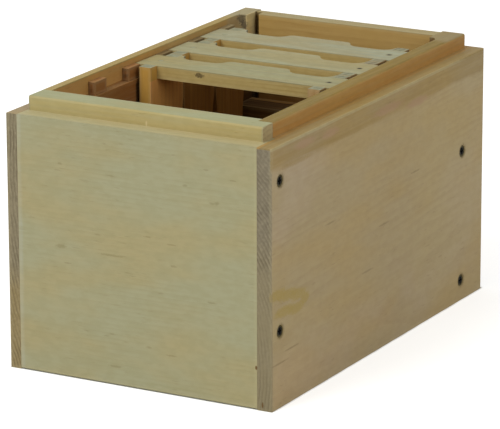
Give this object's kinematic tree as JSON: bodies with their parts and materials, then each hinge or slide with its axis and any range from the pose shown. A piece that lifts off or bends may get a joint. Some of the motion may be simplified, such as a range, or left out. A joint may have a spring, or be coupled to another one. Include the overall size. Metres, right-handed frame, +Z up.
{
  "type": "brood box",
  "caption": "Small open pine brood box with a raised rim lip for stacking, frame rests with spacer blocks, and self-spacing wooden frames that lift out upwards.",
  "frame": {"origin": "middle of the footprint, on the plane that the box stands on", "axes": "+X to the right as seen from the front, +Y from the front board to the rear board, +Z up"},
  "size_m": [0.156, 0.246, 0.146],
  "materials": {
    "pine_board": "planed, bare",
    "pine_spacer": "planed, bare",
    "frame_wood": "planed, bare",
    "screw_steel": "dulled",
    "nail_steel": "dulled"
  },
  "bodies": {
    "box": {"left_side_board": "pine_board", "right_side_board": "pine_board", "front_board": "pine_board", "rear_stop_board": "pine_board", "rear_board": "pine_board", "left_spacer_1": "pine_spacer", "left_spacer_2": "pine_spacer", "left_spacer_3": "pine_spacer", "left_spacer_4": "pine_spacer", "left_spacer_5": "pine_spacer", "right_spacer_1": "pine_spacer", "right_spacer_2": "pine_spacer", "right_spacer_3": "pine_spacer", "right_spacer_4": "pine_spacer", "right_spacer_5": "pine_spacer", "left_side_screws": "screw_steel", "right_side_screws": "screw_steel", "rear_board_screws": "screw_steel"},
    "frame_1": {"frame_1_top_bar": "frame_wood", "frame_1_left_end_bar": "frame_wood", "frame_1_right_end_bar": "frame_wood", "frame_1_bottom_bar": "frame_wood", "frame_1_nails": "nail_steel"},
    "frame_2": {"frame_2_top_bar": "frame_wood", "frame_2_left_end_bar": "frame_wood", "frame_2_right_end_bar": "frame_wood", "frame_2_bottom_bar": "frame_wood", "frame_2_nails": "nail_steel"},
    "frame_3": {"frame_3_top_bar": "frame_wood", "frame_3_left_end_bar": "frame_wood", "frame_3_right_end_bar": "frame_wood", "frame_3_bottom_bar": "frame_wood", "frame_3_nails": "nail_steel"}
  },
  "joints": [
    {"name": "frame_1_lift", "type": "slide", "parent": "box", "child": "frame_1", "axis": [0, 0, 1], "range_m": [0, 0.15]},
    {"name": "frame_2_lift", "type": "slide", "parent": "box", "child": "frame_2", "axis": [0, 0, 1], "range_m": [0, 0.15]},
    {"name": "frame_3_lift", "type": "slide", "parent": "box", "child": "frame_3", "axis": [0, 0, 1], "range_m": [0, 0.15]}
  ]
}
